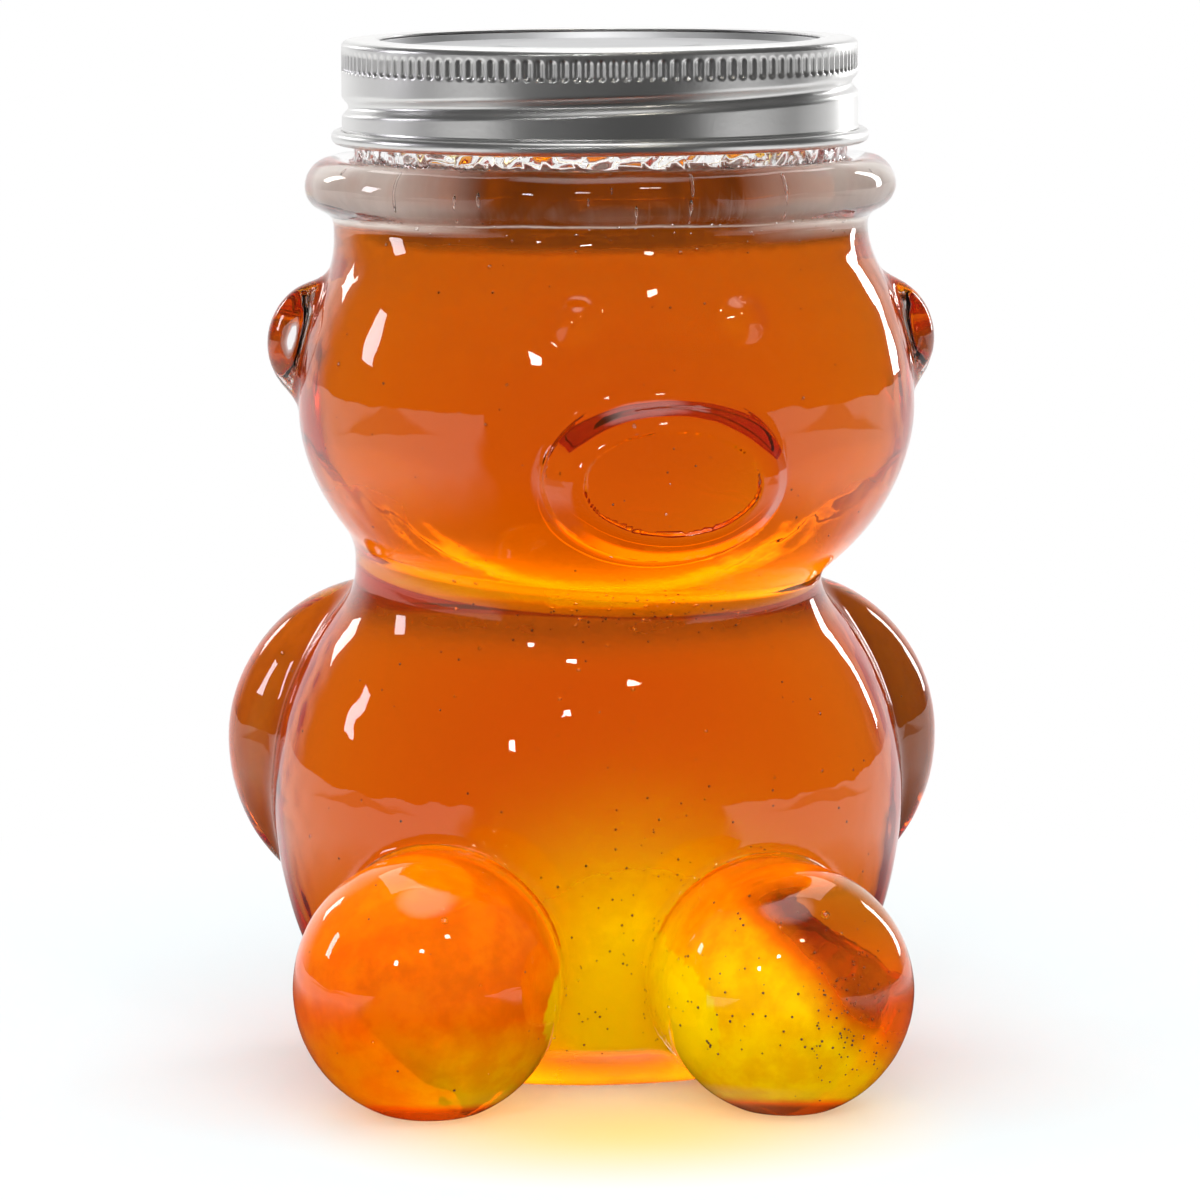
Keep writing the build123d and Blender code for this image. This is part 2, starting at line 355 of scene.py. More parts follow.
def honey_field(p):
    """The honey's skin, a hair inside the glass, with a meniscus at the top."""
    skin = inside(p) + HONEY_GAP
    radius = np.hypot(p[:, 0], p[:, 1])
    climb = MENISCUS_CLIMB * np.exp((radius - BORE_RADIUS) / MENISCUS_REACH)
    top = p[:, 2] - FILL_HEIGHT - np.minimum(climb, MENISCUS_CLIMB)
    return smooth_max(skin, top, MENISCUS_BLEND)


def gradient(field, p, here):
    """Slope of a field at points where its value is here, by a small step along each axis."""
    slope = np.empty_like(p)
    for axis in range(3):
        step = np.zeros(3)
        step[axis] = NUDGE
        slope[:, axis] = (field(p + step) - here) / NUDGE
    return slope


def settled(field, p):
    """Points moved onto the surface where the field is zero, and their normals."""
    for _ in range(STEPS_TO_SURFACE):
        here = field(p)
        slope = gradient(field, p, here)
        reach = np.maximum((slope**2).sum(axis=1), SLOPE_FLOOR)
        move = slope * (here / reach)[:, None]
        size = np.linalg.norm(move, axis=1)
        p = p - move * np.minimum(1, LONGEST_MOVE / np.maximum(size, TINY))[:, None]
    slope = gradient(field, p, field(p))
    return p, slope / np.maximum(np.linalg.norm(slope, axis=1), TINY)[:, None]


def places_of(items, name):
    """Places of a mesh's points or faces, in millimetres."""
    places = np.empty(len(items) * 3)
    items.foreach_get(name, places)
    return places.reshape(-1, 3) / MM


def split_face(mesh):
    """Halves the mesh's edges round the snout and eyes, where the forms are small."""
    shape = bmesh.new()
    shape.from_mesh(mesh)
    low, high = (Vector(corner) * MM for corner in FACE_BOX)
    near = {v for v in shape.verts if all(low[i] < v.co[i] < high[i] for i in range(3))}
    edges = [e for e in shape.edges if e.verts[0] in near and e.verts[1] in near]
    bmesh.ops.subdivide_edges(shape, edges=edges, cuts=1, use_grid_fill=True)
    shape.to_mesh(mesh)
    shape.free()


def dressed(name, node, field, step):
    """A CAD node's solid as an even mesh that is settled on the field."""
    source = bpy.data.objects.new(name + ".source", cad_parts[node].data.copy())
    bpy.context.scene.collection.objects.link(source)
    even = source.modifiers.new("even", "REMESH")
    even.mode = "VOXEL"
    even.voxel_size = step * MM
    graph = bpy.context.evaluated_depsgraph_get()
    mesh = bpy.data.meshes.new_from_object(source.evaluated_get(graph))
    bpy.data.objects.remove(source)
    split_face(mesh)
    places, normals = settled(field, places_of(mesh.vertices, "co"))
    mesh.vertices.foreach_set("co", (places * MM).ravel())
    mesh.materials.clear()
    mesh.shade_smooth()
    mesh.update()
    mesh.normals_split_custom_set_from_vertices(normals)
    mesh.name = name
    piece = bpy.data.objects.new(name, mesh)
    bpy.context.scene.collection.objects.link(piece)
    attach(piece, "jar")
    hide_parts(node)
    return piece


# Materials

WHITE = (1.0, 1.0, 1.0, 1)
GLASS_TINT = (0.985, 0.99, 0.985, 1)
GLASS_SHADOW = (0.97, 0.97, 0.97, 1)
GLASS_IOR = 1.52
HONEY_IN_GLASS_IOR = 0.992
HONEY_ABSORPTION = (0.972, 0.83, 0.0, 1)
HONEY_DENSITY = 190.0
HONEY_SHADOW = (0.45, 0.75, 1, 1)
AIR_IN_GLASS_IOR = 0.667
BAND_TIN = (0.8, 0.795, 0.785, 1)
DISC_TIN = (0.45, 0.45, 0.455, 1)
TIN_ROUGHNESS = (0.25, 0.39)
TIN_WEAR_SCALE = 120.0
SEAL_COLOUR = (0.62, 0.58, 0.5, 1)
SPECK_DARK = (0.02, 0.008, 0.002, 1)
SPECK_LIGHT = (0.16, 0.05, 0.01, 1)
SPECK_TONE_SCALE = 900.0

# Grain of a surface: its noise's scale and detail, its bump's strength and its depth in metres
GLASS_GRAIN = (420.0, 2.0, 0.05, 0.0002)
TIN_GRAIN = (1500.0, 3.0, 0.12, 0.0001)
SEAL_GRAIN = (700.0, 3.0, 0.2, 0.0002)

# The painted light's colours: brown for painted shade, orange and yellow for painted glow, and silver for a
# painted sheen; the tones where two of them lie, and how patchy it is
PAINTED_SHADE_BROWN = (0.12, 0.03, 0.002, 1)
PAINTED_LIGHT_ORANGE = (1.0, 0.2, 0.0, 1)
PAINTED_GLOW_YELLOW = (1.0, 0.8, 0.0, 1)
PAINTED_SHEEN_SILVER = (0.72, 0.68, 0.62, 1)
PAINTED_LIGHT_ORANGE_TONE = 0.3
PAINTED_GLOW_YELLOW_TONE = 0.72
PAINTED_LIGHT_BACK_SHARE = 0.35
PAINTED_LIGHT_CLOUDS = {"Scale": 160.0, "Detail": 5.0, "Roughness": 0.6}
PAINTED_LIGHT_CLOUD_EDGE = (0.35, 0.65)
PAINTED_LIGHT_CLOUD_LEVELS = (0.92, 1.07)


def new_material(name):
    material = bpy.data.materials.new(name)
    material.use_nodes = True
    tree = material.node_tree
    tree.nodes.clear()
    return material, tree, tree.nodes.new("ShaderNodeOutputMaterial")


def add(tree, kind, **settings):
    """A node with its settings, where a name that ends in _ is an attribute and others are inputs."""
    node = tree.nodes.new(kind)
    for key, value in settings.items():
        if key.endswith("_"):
            setattr(node, key[:-1], value)
        else:
            node.inputs[key.replace("_", " ")].default_value = value
    return node


def ramp(tree, source, start, end, low, high):
    """A smooth step of a value from low to high as source goes from start to end."""
    node = add(tree, "ShaderNodeMapRange", From_Min=start, From_Max=end, To_Min=low, To_Max=high)
    node.interpolation_type = "SMOOTHSTEP"
    tree.links.new(source, node.inputs["Value"])
    return node.outputs["Result"]


def combine(tree, operation, a, b):
    """A sum or other result of two values, or of one where b is None."""
    node = add(tree, "ShaderNodeMath", operation_=operation)
    tree.links.new(a, node.inputs[0])
    if b:
        tree.links.new(b, node.inputs[1])
    return node.outputs[0]


def chosen(tree, first, *choices):
    """The first shader, where each choice after it takes over by its share."""
    last = first
    for share, shader in choices:
        mix = add(tree, "ShaderNodeMixShader")
        tree.links.new(share, mix.inputs[0])
        tree.links.new(last.outputs[0], mix.inputs[1])
        tree.links.new(shader.outputs[0], mix.inputs[2])
        last = mix
    return last


def clear_shader(tree, tint, ior):
    """Smooth clear glass, liquid or air."""
    shader = add(tree, "ShaderNodeBsdfPrincipled", Base_Color=tint, Roughness=0.0, IOR=ior)
    shader.inputs["Transmission Weight"].default_value = 1.0
    return shader


def lets_lamps_through(tree, out, shader, tint):
    """Joins a glass shader to the output so that light from lamps passes it, tinted."""
    path = add(tree, "ShaderNodeLightPath")
    clear = add(tree, "ShaderNodeBsdfTransparent", Color=tint)
    surface = chosen(tree, shader, (path.outputs["Is Shadow Ray"], clear))
    tree.links.new(surface.outputs[0], out.inputs["Surface"])


def give_grain(tree, shader, scale, detail, strength, depth):
    """Gives a shader a fine grain, and returns the coordinates that it lies in."""
    coordinates = add(tree, "ShaderNodeTexCoord").outputs["Object"]
    grain = add(tree, "ShaderNodeTexNoise", Scale=scale, Detail=detail)
    relief = add(tree, "ShaderNodeBump", Strength=strength, Distance=depth)
    tree.links.new(coordinates, grain.inputs["Vector"])
    tree.links.new(grain.outputs["Fac"], relief.inputs["Height"])
    tree.links.new(relief.outputs["Normal"], shader.inputs["Normal"])
    return coordinates


def glass_material():
    material, tree, out = new_material("bear_glass")
    shader = clear_shader(tree, GLASS_TINT, GLASS_IOR)
    give_grain(tree, shader, *GLASS_GRAIN)
    lets_lamps_through(tree, out, shader, GLASS_SHADOW)
    return material


def painted_light_wall_material():
    """The inner wall where honey wets it: clear, under a film of painted light (painted shade in brown,
    painted glow in orange and yellow, and a painted silver sheen) whose share, tone and sheen the mesh
    carries.
    """
    material, tree, out = new_material("painted_light_wall")
    share = add(tree, "ShaderNodeAttribute", attribute_name_="haze")
    tone = add(tree, "ShaderNodeAttribute", attribute_name_="haze_tone")
    silver = add(tree, "ShaderNodeAttribute", attribute_name_="haze_silver")
    coordinates = add(tree, "ShaderNodeTexCoord")
    clouds = add(tree, "ShaderNodeTexNoise", **PAINTED_LIGHT_CLOUDS)
    tree.links.new(coordinates.outputs["Object"], clouds.inputs["Vector"])
    patches = ramp(tree, clouds.outputs["Fac"], *PAINTED_LIGHT_CLOUD_EDGE, *PAINTED_LIGHT_CLOUD_LEVELS)
    colours = add(tree, "ShaderNodeValToRGB")
    colours.color_ramp.elements[0].color = PAINTED_SHADE_BROWN
    colours.color_ramp.elements[1].color = PAINTED_GLOW_YELLOW
    colours.color_ramp.elements.new(PAINTED_LIGHT_ORANGE_TONE).color = PAINTED_LIGHT_ORANGE
    colours.color_ramp.elements[2].position = PAINTED_GLOW_YELLOW_TONE
    tree.links.new(combine(tree, "MULTIPLY", tone.outputs["Fac"], patches), colours.inputs["Fac"])
    colour = add(tree, "ShaderNodeMixRGB", Color2=PAINTED_SHEEN_SILVER)
    tree.links.new(silver.outputs["Fac"], colour.inputs["Fac"])
    tree.links.new(colours.outputs["Color"], colour.inputs["Color1"])
    front = add(tree, "ShaderNodeBsdfDiffuse")
    back = add(tree, "ShaderNodeBsdfTranslucent")
    clear = add(tree, "ShaderNodeBsdfTransparent")
    # The film's painted glow and shade, lit from the front and shining through from behind
    grains = add(tree, "ShaderNodeMixShader")
    grains.inputs[0].default_value = PAINTED_LIGHT_BACK_SHARE
    for shader, slot in ((front, 1), (back, 2)):
        tree.links.new(colour.outputs["Color"], shader.inputs["Color"])
        tree.links.new(shader.outputs[0], grains.inputs[slot])
    surface = chosen(tree, clear, (combine(tree, "MULTIPLY", share.outputs["Fac"], patches), grains))
    tree.links.new(surface.outputs[0], out.inputs["Surface"])
    return material


# Painted light on the inner wall: painted shade in brown at the top of the head, on the neck and in the
# waist's crease, painted glow on the cheeks, under the chin and on the belly, and a painted silver sheen on
# the base, the collar ring and the neck. Each layer is how thick it is, its tone, and where it lies. Each
# place is an axis, a shape and two lengths: "grow" and "shrink" have a start or end and the length that
# they change over, and "bump" has its middle and its width.
FRONT = ("y", "shrink", 10.0, 10.0)
# Painted shade, darker towards the top of the head
HEAD_PAINTED_SHADE = (0.5, 0.08, (("z", "grow", 85.0, 28.0), FRONT))
# Painted shade on the front of the neck, except at its end on the bear's right
NECK_PAINTED_SHADE = (0.92, 0.02, (("z", "grow", 114.0, 3.0), ("x", "grow", -36.0, 8.0), FRONT))
# Painted glow in orange on the lower cheeks
CHEEK_PAINTED_GLOW = (0.85, 0.3, (("aside", "bump", 33.0, 8.0), ("z", "bump", 79.0, 7.0), FRONT))
# Painted shade in the crease at the waist
WAIST_PAINTED_SHADE = (0.75, 0.05, (("z", "bump", 64.5, 3.5), FRONT))
# Painted glow under the chin
CHIN_PAINTED_GLOW = (0.5, 0.6, (("x", "bump", 1.0, 24.0), ("z", "bump", 70.5, 2.5), FRONT))
# Painted glow in yellow on the lower belly, ending just above the base
BELLY_PLACE = (("x", "bump", 2.0, 17.0), ("z", "bump", 13.0, 17.0), ("y", "shrink", -10.0, 8.0))
BELLY_PAINTED_GLOW = (1.3, 0.8, (*BELLY_PLACE, ("z", "grow", BASE_THICKNESS + 0.3, 0.8)))
# Painted silver sheen: a pale window in the base, broken highlights on the collar ring, and pale ends of the
# ring and neck
BASE_PAINTED_SHEEN = (0.6, (("x", "bump", 2.0, 12.0), ("z", "shrink", BASE_THICKNESS + 1.1, 0.8)))
RING_PAINTED_SHEEN = (0.8, (("z", "bump", 122.2, 0.5), FRONT))
RING_END_PAINTED_SHEEN = (0.97, (("aside", "grow", 16.0, 12.0), ("z", "grow", 118.5, 1.5), FRONT))
NECK_END_PAINTED_SHEEN = (0.5, (("x", "grow", 18.0, 12.0), ("z", "grow", 116.5, 1.5), FRONT))

# Painted light of the limbs by side, 1 for the bear's left: painted shade on the arms, and painted glow on
# the feet, yellower low down (on the bear's right foot most on its inner side), darker towards the top of
# the bear's left foot and browner along the bottom rim; the bear's left foot also has a darker patch. The
# feet's parts are added up.
LIMB_SKIN = (1.5, 1.0)
# Painted shade on the arms, in dark brown
ARM_PAINTED_SHADE = {1: (0.9, 0.03), -1: (0.85, 0.09)}
# Painted glow on the feet, with a darker patch on the bear's left foot
FOOT_PAINTED_LIGHT = {1: {"plain": 0.85, "dark": -0.5}, -1: {"plain": 0.62}}
FOOT_TONE = {
    1: {"plain": 0.6, "low": 0.16, "top": -0.28, "dark": -0.4},
    -1: {"plain": 0.3, "low": 0.25, "inner": 0.3},
}
FOOT_AHEAD = (-14.0, 16.0)
FOOT_LOW = (16.0, 14.0)
FOOT_TOP = (20.0, 9.0)
FOOT_INNER = (-4.0, 8.0)
FOOT_RIM = (3.8, 1.2)
FOOT_RIM_TONE = 0.1
DARK_SLOPE = 0.7
DARK_HEIGHT = 20.0
DARK_EDGE = (-1.0, 7.0)
DARK_TOP = (31.5, 2.5)


def zone(p, thickness, places):
    """A thickness at points, as far as they lie in all of the places."""
    axes = {"x": p[:, 0], "y": p[:, 1], "z": p[:, 2], "aside": np.abs(p[:, 0])}
    shapes = {"grow": grow, "shrink": shrink, "bump": bump}
    for axis, shape, start, length in places:
        thickness = thickness * shapes[shape](axes[axis], start, length)
    return thickness


def foot_haze(p, side):
    """How thick a foot's painted glow and shade is at points, and its tone."""
    x, z = p[:, 0] - BODY_CENTRE[0] - side * FOOT_REACH, p[:, 2]
    low = shrink(z, *FOOT_LOW)
    dark = grow(x + DARK_SLOPE * (z - DARK_HEIGHT), *DARK_EDGE) * (1 - low) * shrink(z, *DARK_TOP)
    inner = low * grow(x, *FOOT_INNER)
    parts = {"plain": 1.0, "low": low, "top": grow(z, *FOOT_TOP), "dark": dark, "inner": inner}
    share, tone = (
        sum(weight * parts[part] for part, weight in table[side].items()) for table in (FOOT_PAINTED_LIGHT, FOOT_TONE)
    )
    on_foot = shrink(leg_form(p, side, WALL), *LIMB_SKIN) * shrink(p[:, 1], *FOOT_AHEAD)
    above = FOOT_RIM_TONE + (1 - FOOT_RIM_TONE) * grow(z, *FOOT_RIM)
    return on_foot * share, tone * above


def haze(p):
    """How thick the painted light is at points, its tone from painted shade in brown over orange to painted
    glow in yellow, and how much painted silver sheen it has.
    """
    layers = []
    for thick, tone, places in (HEAD_PAINTED_SHADE, NECK_PAINTED_SHADE, CHEEK_PAINTED_GLOW, WAIST_PAINTED_SHADE, CHIN_PAINTED_GLOW, BELLY_PAINTED_GLOW):
        layers.append((zone(p, thick, places), tone))
    for side, (thick, tone) in ARM_PAINTED_SHADE.items():
        layers.append((thick * shrink(arm_form(p, side, ARM_WALL), *LIMB_SKIN), tone))
        layers.append(foot_haze(p, side))
    share, tone = np.zeros(len(p)), np.zeros(len(p))
    for thick, shade in layers:
        tone = np.where(thick > share, shade, tone)
        share = np.maximum(share, thick)
    silvers = (BASE_PAINTED_SHEEN, RING_PAINTED_SHEEN, RING_END_PAINTED_SHEEN, NECK_END_PAINTED_SHEEN)
    silver = np.maximum.reduce([zone(p, *layer) for layer in silvers])
    return np.maximum(share, silver), tone, silver


def honey_material():
    material, tree, out = new_material("honey")
    lets_lamps_through(tree, out, clear_shader(tree, WHITE, HONEY_IN_GLASS_IOR), HONEY_SHADOW)
    depth = add(tree, "ShaderNodeVolumeAbsorption", Color=HONEY_ABSORPTION, Density=HONEY_DENSITY)
    tree.links.new(depth.outputs[0], out.inputs["Volume"])
    return material


def tin_material(name, shade):
    """Satin tinplate: rolled grain, faint mottling and a little wear in its shine."""
    material, tree, out = new_material(name)
    shader = add(tree, "ShaderNodeBsdfPrincipled", Metallic=1.0, Base_Color=shade)
    coordinates = give_grain(tree, shader, *TIN_GRAIN)
    wear = add(tree, "ShaderNodeTexNoise", Scale=TIN_WEAR_SCALE, Detail=4.0)
    rough = add(tree, "ShaderNodeMapRange", To_Min=TIN_ROUGHNESS[0], To_Max=TIN_ROUGHNESS[1])
    tree.links.new(coordinates, wear.inputs["Vector"])
    tree.links.new(wear.outputs["Fac"], rough.inputs["Value"])
    tree.links.new(rough.outputs["Result"], shader.inputs["Roughness"])
    tree.links.new(shader.outputs[0], out.inputs["Surface"])
    return material


def seal_material():
    material, tree, out = new_material("seal_compound")
    shader = add(tree, "ShaderNodeBsdfPrincipled", Base_Color=SEAL_COLOUR, Roughness=0.45)
    give_grain(tree, shader, *SEAL_GRAIN)
    tree.links.new(shader.outputs[0], out.inputs["Surface"])
    return material


# Jar and honey


def make_jar():
    """The glass bear, clear outside and with painted glow, shade and sheen on the wall that the honey wets.
    """
    jar = dressed("bear_glass", "glass_jar", glass_field, GLASS_STEP)
    mesh = jar.data
    mesh.materials.append(glass_material())
    mesh.materials.append(painted_light_wall_material())
    centres = places_of(mesh.polygons, "center")
    wet = (np.abs(inside(centres)) < np.abs(outside(centres))) & (centres[:, 2] < FILL_HEIGHT)
    mesh.polygons.foreach_set("material_index", wet.astype(np.int32))
    names = ("haze", "haze_tone", "haze_silver")
    for name, values in zip(names, haze(places_of(mesh.vertices, "co"))):
        attribute = mesh.attributes.new(name, "FLOAT", "POINT")
        attribute.data.foreach_set("value", values.astype(np.float32))


def make_honey():
    honey = dressed("honey_fill", "honey", honey_field, HONEY_STEP)
    honey.data.materials.append(honey_material())


# Grains and bubbles just behind the front of the glass. Each cloud is how its beads spread, where they
# lie across and in height, and how many are drawn: "even" has two ends, "gathered" a middle and a spread.
FRONT_START = -70.0
FRONT_STEPS = 60
FRONT_MISS = 0.2
BEAD_DEPTH = 0.35
SPECK_SEED = 41
SPECK_RADII = (0.07, 0.2)
SPECK_CLOUDS = (
    ("even", (-46.0, 44.0), (5.0, 118.0), 150),
    ("gathered", (29.5, 4.0), (15.0, 5.0), 150),
    ("gathered", (4.0, 8.0), (66.5, 2.0), 60),
    ("gathered", (7.0, 6.0), (28.0, 9.0), 90),
    ("gathered", (8.0, 9.0), (14.0, 5.0), 60),
)
BUBBLE_SEED = 43
BUBBLE_RADII = (0.12, 0.34)
BUBBLE_CLOUDS = (
    ("even", (-44.0, 42.0), (8.0, 116.0), 60),
    ("gathered", (4.0, 9.0), (66.5, 2.0), 40),
    ("even", (-36.0, 36.0), (116.0, 124.0), 60),
)

# The large bubbles over the feet: place across, height and radius
LARGE_BUBBLES = ((26.5, 28.0, 0.65), (-24.5, 28.5, 0.5))


def on_front_wall(x, z, depth):
    """Points at a depth behind the wall's inner side, or in the wall where that is negative."""
    p = np.stack([x, np.full(len(x), FRONT_START), z], axis=1)
    for _ in range(FRONT_STEPS):
        p[:, 1] += inside(p) + depth
    return p[np.abs(inside(p) + depth) < FRONT_MISS]


def drawn(draw, spread, place, count):
    """Random places, even between two ends or gathered round a middle."""
    return (draw.uniform if spread == "even" else draw.normal)(*place, count)


def beads(name, places, radii, detail, material):
    """Small round pieces at places, joined into one mesh that rides on the jar."""
    shape = bmesh.new()
    for place, radius in zip(places, radii):
        there = Matrix.Translation(Vector(place) * MM)
        bmesh.ops.create_icosphere(shape, subdivisions=detail, radius=radius * MM, matrix=there)
    mesh = bpy.data.meshes.new(name)
    shape.to_mesh(mesh)
    shape.free()
    mesh.shade_smooth()
    mesh.materials.append(material)
    piece = bpy.data.objects.new(name, mesh)
    bpy.context.scene.collection.objects.link(piece)
    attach(piece, "jar")


def make_specks():
    """Dark grains in the honey: a few everywhere, and more at the waist, the belly and one foot."""
    draw = np.random.default_rng(SPECK_SEED)
    x, z = [], []
    for spread, across, height, count in SPECK_CLOUDS:
        x.append(drawn(draw, spread, across, count))
        z.append(drawn(draw, spread, height, count))
    places = on_front_wall(np.concatenate(x), np.concatenate(z), -BEAD_DEPTH)
    material, tree, out = new_material("grain")
    shader = add(tree, "ShaderNodeBsdfPrincipled", Roughness=0.6)
    tones = add(tree, "ShaderNodeTexNoise", Scale=SPECK_TONE_SCALE)
    shades = add(tree, "ShaderNodeValToRGB")
    shades.color_ramp.elements[0].color = SPECK_DARK
    shades.color_ramp.elements[1].color = SPECK_LIGHT
    coordinates = add(tree, "ShaderNodeTexCoord")
    tree.links.new(coordinates.outputs["Object"], tones.inputs["Vector"])
    tree.links.new(tones.outputs["Fac"], shades.inputs["Fac"])
    tree.links.new(shades.outputs["Color"], shader.inputs["Base Color"])
    tree.links.new(shader.outputs[0], out.inputs["Surface"])
    beads("honey_grains", places, draw.uniform(*SPECK_RADII, len(places)), 1, material)


def make_bubbles():
    """Air bubbles under the glass: two large ones over the feet and small ones all over."""
    draw = np.random.default_rng(BUBBLE_SEED)
    large_x, large_z, large_radii = zip(*LARGE_BUBBLES)
    x = [large_x] + [drawn(draw, spread, across, count) for spread, across, _, count in BUBBLE_CLOUDS]
    z = [large_z] + [drawn(draw, spread, height, count) for spread, _, height, count in BUBBLE_CLOUDS]
    places = on_front_wall(np.concatenate(x), np.concatenate(z), -2 * BEAD_DEPTH)
    radii = draw.uniform(*BUBBLE_RADII, len(places))
    radii[:len(LARGE_BUBBLES)] = large_radii
    material, tree, out = new_material("air_bubble")
    lets_lamps_through(tree, out, clear_shader(tree, WHITE, AIR_IN_GLASS_IOR), WHITE)
    beads("air_bubbles", places, radii, 3, material)


# Lid

BAND_TOP = 144.0
TIN = 0.3
BAND_RADIUS = 36.0
BAND_WINDOW_RADIUS = 30.8
BAND_CORNER = 1.2
CORNER_FLATTENING = 0.8
KNURL_COUNT = 134
KNURL_DEPTH = 0.35
KNURL_TOP = 1.5
KNURL_LENGTH = 2.9
KNURL_HALF_WIDTH = 0.56
KNURL_EDGE = 1.25
COLUMNS_PER_KNURL = 8
GROOVE_DEPTH = 0.9
GROOVE_HALF_WIDTH = 1.5
GROOVE_DROP = 6.1
GROOVE_TURNS = (-0.8, 0.28)
GROOVE_FADE = 0.12
CURL_RADIUS = 36.5
CURL_TUBE_RADIUS = 1.0
CURL_TURNS = (0.3 - math.pi / 2, 3 * math.pi / 2 - 0.2)
BAND_DEPTH = 14.5
SKIRT_START = 1.0
SKIRT_GAP = 1.2
INNER_START = 1.2

# The band's rows: how many each part has, and whether a row is plain or has the outer or inner shape
FLANGE_ROWS = 5
CORNER_ROWS = 7
SKIRT_ROWS = 62
CURL_ROWS = 20
INNER_ROWS = 30
UNDER_ROWS = 5
PLAIN, OUTER, INNER = 0, 1, 2


def smooth(share):
    """An even share from 0 to 1, eased at both ends."""
    return share * share * (3 - 2 * share)


def knurl_depth(angle, drop):
    """How deep the flutes are at an angle and a depth below the band's top."""
    spacing = 2 * math.pi * BAND_RADIUS / KNURL_COUNT
    across = (angle / (2 * math.pi) * KNURL_COUNT % 1 - 0.5) * spacing
    along = np.abs(drop - KNURL_TOP - KNURL_LENGTH / 2) - KNURL_LENGTH / 2 + KNURL_HALF_WIDTH
    away = np.hypot(across, np.maximum(along, 0)) / KNURL_HALF_WIDTH
    return KNURL_DEPTH * smooth(np.clip(KNURL_EDGE - away, 0, 1))


def groove_depth(angle, drop):
    """The rolled thread: a groove that climbs to the right, fading out at its ends."""
    depth = np.zeros_like(drop)
    for lap in (-1, 0):
        turn = angle / (2 * math.pi) + lap
        away = np.abs(drop - GROOVE_DROP + PITCH * turn)
        fade = between(turn, GROOVE_TURNS, GROOVE_FADE)
        depth += GROOVE_DEPTH * fade * smooth(shrink(away, GROOVE_HALF_WIDTH, GROOVE_HALF_WIDTH))
    return depth


def band_rows():
    """Rows of the band's section: radius, height below its top, and what the row's shape follows."""
    corner_start = BAND_RADIUS - BAND_CORNER
    skirt_end = BAND_DEPTH - CURL_TUBE_RADIUS
    rows = [(r, 0.0, OUTER) for r in np.linspace(BAND_WINDOW_RADIUS, corner_start, FLANGE_ROWS + 1)[:-1]]
    for turn in np.linspace(0, math.pi / 2, CORNER_ROWS):
        drop = BAND_CORNER * (1 - math.cos(turn)) * CORNER_FLATTENING
        rows.append((corner_start + BAND_CORNER * math.sin(turn), drop, OUTER))
    skirt = np.linspace(SKIRT_START, skirt_end - SKIRT_GAP, SKIRT_ROWS)
    rows += [(BAND_RADIUS, drop, OUTER) for drop in skirt]
    for turn in np.linspace(*CURL_TURNS, CURL_ROWS):
        drop = skirt_end + CURL_TUBE_RADIUS * math.sin(turn)
        rows.append((CURL_RADIUS - CURL_TUBE_RADIUS * math.cos(turn), drop, PLAIN))
    rows += [(BAND_RADIUS - TIN, drop, INNER) for drop in np.linspace(skirt_end, INNER_START, INNER_ROWS)]
    rows += [(r, TIN, PLAIN) for r in np.linspace(corner_start - TIN, BAND_WINDOW_RADIUS, UNDER_ROWS)]
    return rows


def lathe(name, rows, columns, shape):
    """A ring mesh from rows of a section, closed both ways, with shape giving each row's radii."""
    angles = np.arange(columns) * 2 * math.pi / columns
    points = []
    for row in rows:
        radii = shape(row, angles)
        heights = np.full(columns, BAND_TOP - row[1])
        points.append(np.stack([radii * np.cos(angles), radii * np.sin(angles), heights], axis=1))
    count = len(rows)
    ring = np.arange(columns)
    faces = []
    for i in range(count):
        low, high = i * columns, (i + 1) % count * columns
        after = (ring + 1) % columns
        faces.append(np.stack([low + ring, high + ring, high + after, low + after], axis=1))
    mesh = bpy.data.meshes.new(name)
    mesh.from_pydata((np.concatenate(points) * MM).tolist(), [], np.concatenate(faces).tolist())
    mesh.shade_smooth()
    mesh.update()
    piece = bpy.data.objects.new(name, mesh)
    bpy.context.scene.collection.objects.link(piece)
    return piece


def band_shape(row, angles):
    """Radii of one of the band's rows, with the thread's groove and the knurls cut into it."""
    radius, drop, side = row
    drops = np.full(len(angles), drop)
    if side == PLAIN:
        return np.full(len(angles), radius)
    knurls = knurl_depth(angles, drops) if side == OUTER else KNURL_DEPTH
    return radius - groove_depth(angles, drops) - knurls


def make_band():
    band = lathe("band_tin", band_rows(), KNURL_COUNT * COLUMNS_PER_KNURL, band_shape)
    band.data.materials.append(tin_material("band_tin", BAND_TIN))
    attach(band, "band")
    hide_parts("screw_band")


def make_disc_finish():
    """Materials for the disc and its seal, whose own solids show."""
    finishes = {"lid_disc": tin_material("disc_tin", DISC_TIN), "sealing_ring": seal_material()}
    for node, material in finishes.items():
        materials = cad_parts[node].data.materials
        materials.clear()
        materials.append(material)


# Stage, lights and camera

CAMERA_TURN = -3.0
CAMERA_DISTANCE = 1100.0
CAMERA_HEIGHT = 191.1
CAMERA_PITCH = 6.53
CAMERA_ROLL = 0.3
CAMERA_SIDE = -0.35
FOCAL_PIXELS = 7885.0
PHOTO_PIXELS = 1200.0
SENSOR = 36.0
CAMERA_CLIP = (0.01, 50.0)

